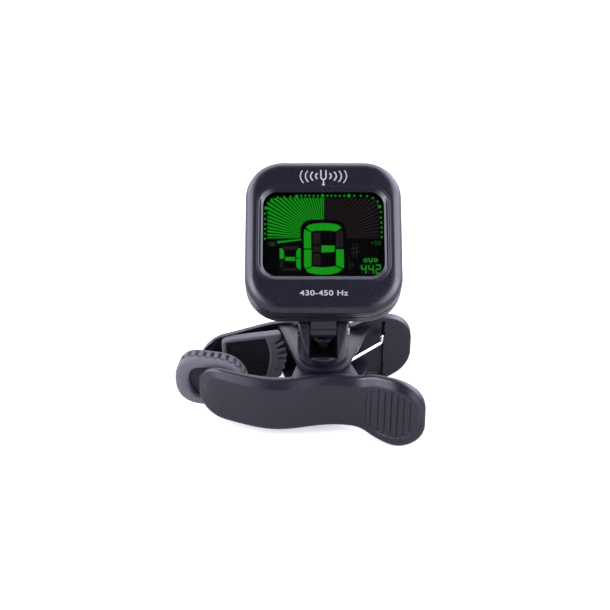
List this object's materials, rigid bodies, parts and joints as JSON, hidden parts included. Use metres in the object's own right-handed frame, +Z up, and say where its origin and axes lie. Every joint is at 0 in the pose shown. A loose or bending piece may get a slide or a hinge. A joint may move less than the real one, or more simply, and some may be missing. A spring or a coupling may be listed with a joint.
{
  "type": "clip on tuner",
  "caption": "Clip-on instrument tuner: a lit display head on a tilting, turning neck, carried by a sprung two-lever clip with rubber-ringed jaws.",
  "frame": {"origin": "centre of the jaw grip, midway between the two rubber jaws and on the clip's middle plane", "axes": "+X from the jaws towards the finger handles, along the clip's length; +Y from the front lever towards the rear lever; +Z up along the clip spindle, towards the display head"},
  "size_m": [0.0619, 0.0473, 0.0573],
  "materials": {
    "head_plastic": "fine satin moulded plastic, charcoal",
    "lever_plastic": "fine satin moulded plastic, charcoal",
    "neck_plastic": "satin moulded plastic, charcoal",
    "button_plastic": "satin",
    "grey_rubber": "matte mid grey rubber",
    "carrier_plastic": "matte",
    "lens_clear": "clear polished",
    "lcd_glass": "black display",
    "diffuser": "milky",
    "connector_rubber": "striped elastomer",
    "board": "solder mask",
    "resin": "potting resin",
    "brass_disc": "plain",
    "bright_steel": "bright plated",
    "dark_steel": "blackened zinc",
    "cell_steel": "nickel plated",
    "washer_nylon": "natural nylon"
  },
  "bodies": {
    "rear_clip": {"rear_lever": "lever_plastic", "clip_pin": "dark_steel", "torsion_spring": "bright_steel", "swivel_screw": "dark_steel", "swivel_washer": "washer_nylon", "rear_pad": "grey_rubber", "rear_shoe": "carrier_plastic", "rear_shoe_rivets": "dark_steel"},
    "front_clip": {"front_lever": "lever_plastic", "front_shoe_stud": "carrier_plastic"},
    "front_jaw": {"front_shoe": "carrier_plastic", "front_pad": "grey_rubber"},
    "swivel": {"swivel_yoke": "neck_plastic", "hinge_screw": "dark_steel", "hinge_nut": "dark_steel", "hinge_washers": "washer_nylon"},
    "head": {"front_case": "head_plastic", "rear_case": "head_plastic", "window_lens": "lens_clear", "lcd_panel": "lcd_glass", "backlight_guide": "diffuser", "lcd_connector": "connector_rubber", "circuit_board": "board", "tact_switches": "dark_steel", "tuner_chip": "resin", "piezo_disc": "brass_disc", "coin_cell": "cell_steel", "battery_contact_neg": "bright_steel", "battery_contact_pos": "bright_steel", "case_screws": "dark_steel"},
    "door": {"battery_door": "head_plastic"},
    "power": {"power_button": "button_plastic"},
    "mode": {"mode_button": "button_plastic"},
    "pitch": {"pitch_button": "button_plastic"}
  },
  "joints": [
    {"name": "clip_open", "type": "hinge", "parent": "rear_clip", "child": "front_clip", "pos_m": [0.0225, -0.002, 0], "axis": [0, 0, 1], "range_deg": [0, 32], "stiffness_Nm_per_rad": 0.35, "springref_deg": -68.75, "deforming": ["torsion_spring"]},
    {"name": "front_jaw_rock", "type": "hinge", "parent": "front_clip", "child": "front_jaw", "pos_m": [-0.00139, -0.00446, 0], "axis": [0, 0, 1], "range_deg": [-5, 5], "stiffness_Nm_per_rad": 0.002},
    {"name": "head_swivel", "type": "hinge", "parent": "rear_clip", "child": "swivel", "pos_m": [0.0225, -0.002, 0], "axis": [0, 0, 1], "continuous": true},
    {"name": "head_tilt", "type": "hinge", "parent": "swivel", "child": "head", "pos_m": [0.0225, -0.002, 0.0151], "axis": [1, 0, 0], "range_deg": [-34, 56]},
    {"name": "battery_door_lift", "type": "slide", "parent": "head", "child": "door", "axis": [0, 0.5592, -0.829], "range_m": [0, 0.006]},
    {"name": "power_press", "type": "slide", "parent": "head", "child": "power", "axis": [0, -0.5592, 0.829], "range_m": [0, 0.0003], "stiffness_N_per_m": 15},
    {"name": "mode_press", "type": "slide", "parent": "head", "child": "mode", "axis": [0, -0.5592, 0.829], "range_m": [0, 0.0003], "stiffness_N_per_m": 15},
    {"name": "pitch_press", "type": "slide", "parent": "head", "child": "pitch", "axis": [0, -0.5592, 0.829], "range_m": [0, 0.0003], "stiffness_N_per_m": 15}
  ]
}
